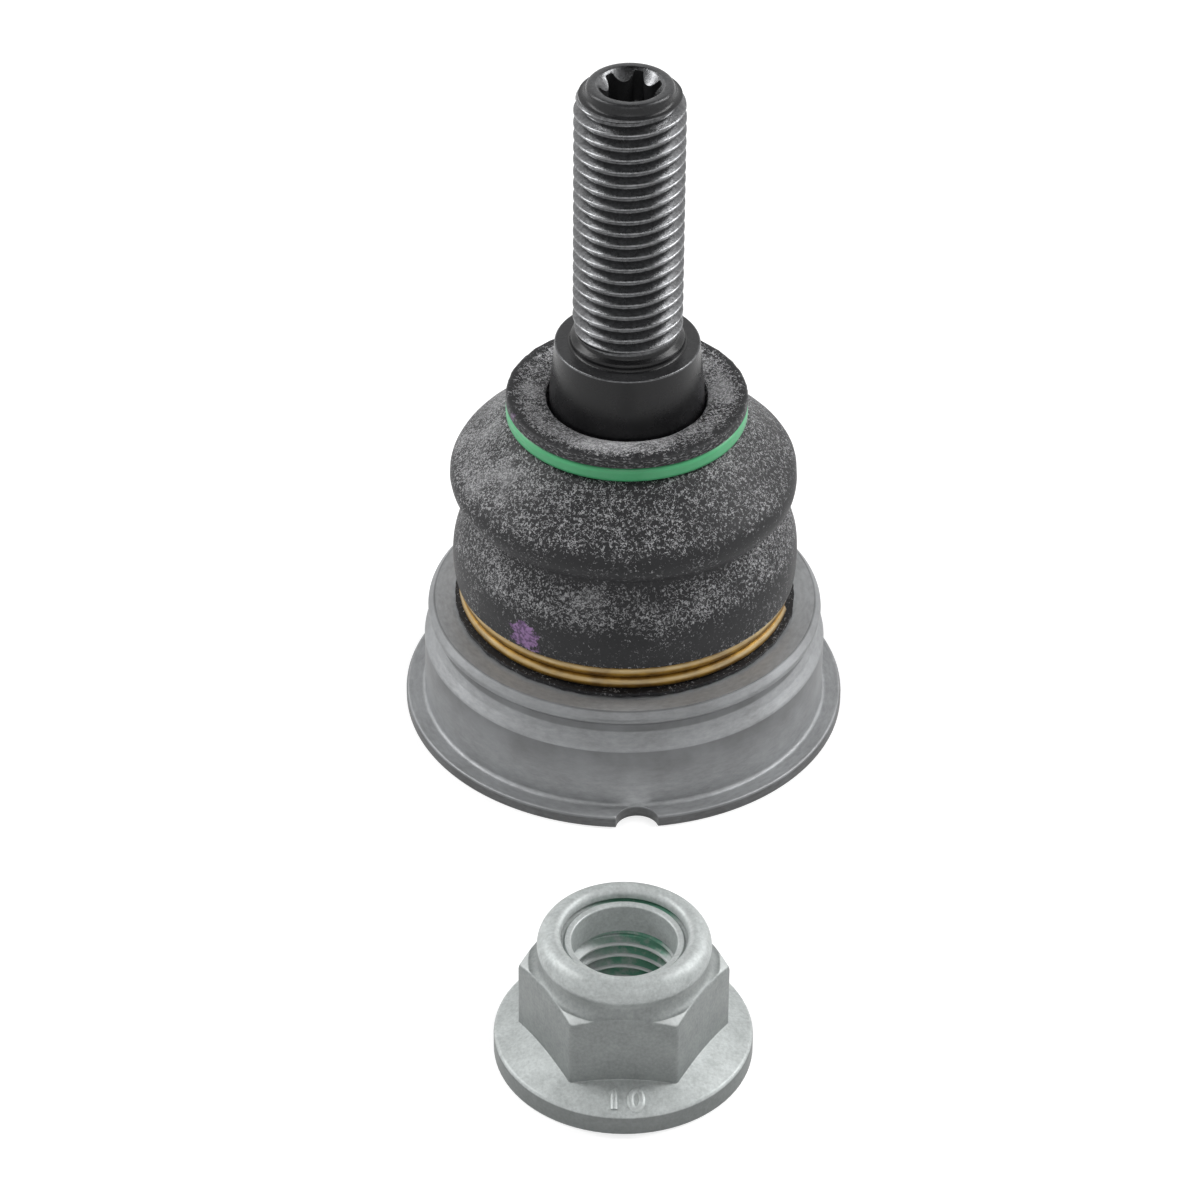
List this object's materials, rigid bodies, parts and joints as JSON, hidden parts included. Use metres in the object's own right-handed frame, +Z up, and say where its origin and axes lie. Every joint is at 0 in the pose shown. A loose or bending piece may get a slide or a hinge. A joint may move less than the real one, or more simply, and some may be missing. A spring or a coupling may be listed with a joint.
{
  "type": "suspension ball joint",
  "caption": "Press-in suspension ball joint: a ball stud with a threaded, tapered shank in a flanged housing, sealed by a convoluted rubber boot, with its flange lock nut.",
  "frame": {"origin": "on the joint's axis, in the plane of the flange's underside, where the cover plate lies flush", "axes": "+Z up the stud; -Y is the front, where the flange's notch is and the loose nut stands; +X to the right"},
  "size_m": [0.0496, 0.099, 0.0802],
  "materials": {
    "housing_steel": "fine turned and satin",
    "race_plastic": "moulded, semi-matt",
    "cover_steel": "pressed and oiled",
    "passivated_wire": "drawn wire, yellow passivated",
    "boot_rubber": "moulded with a pale speckled bloom",
    "green_plastic": "moulded, semi-gloss",
    "phosphated_steel": "black phosphated",
    "zinc_flake_steel": "matt zinc-flake coating",
    "locking_plastic": "moulded, coated with the nut"
  },
  "bodies": {
    "housing": {"housing": "housing_steel", "upper_bearing_race": "race_plastic", "lower_bearing_race": "race_plastic", "cover_plate": "cover_steel", "lower_clamp_ring": "passivated_wire"},
    "boot": {"boot": "boot_rubber"},
    "boot_mouth": {"upper_clamp_ring": "green_plastic"},
    "stud": {"ball_stud": "phosphated_steel"},
    "nut": {"flange_nut": "zinc_flake_steel", "nut_locking_ring": "locking_plastic"}
  },
  "joints": [
    {"name": "stud_swing_side", "type": "hinge", "parent": "housing", "child": "boot", "pos_m": [0, 0, 0.016], "axis": [0, 1, 0], "range_deg": [-20, 20], "deforming": ["boot"]},
    {"name": "stud_swing_front", "type": "hinge", "parent": "boot", "child": "boot_mouth", "pos_m": [0, 0, 0.016], "axis": [1, 0, 0], "range_deg": [-20, 20]},
    {"name": "stud_spin", "type": "hinge", "parent": "boot_mouth", "child": "stud", "pos_m": [0, 0, 0.016], "axis": [0, 0, 1], "continuous": true},
    {"name": "nut_lift", "type": "slide", "parent": "housing", "child": "nut", "axis": [0, 0, 1], "range_m": [0, 0.09]}
  ]
}
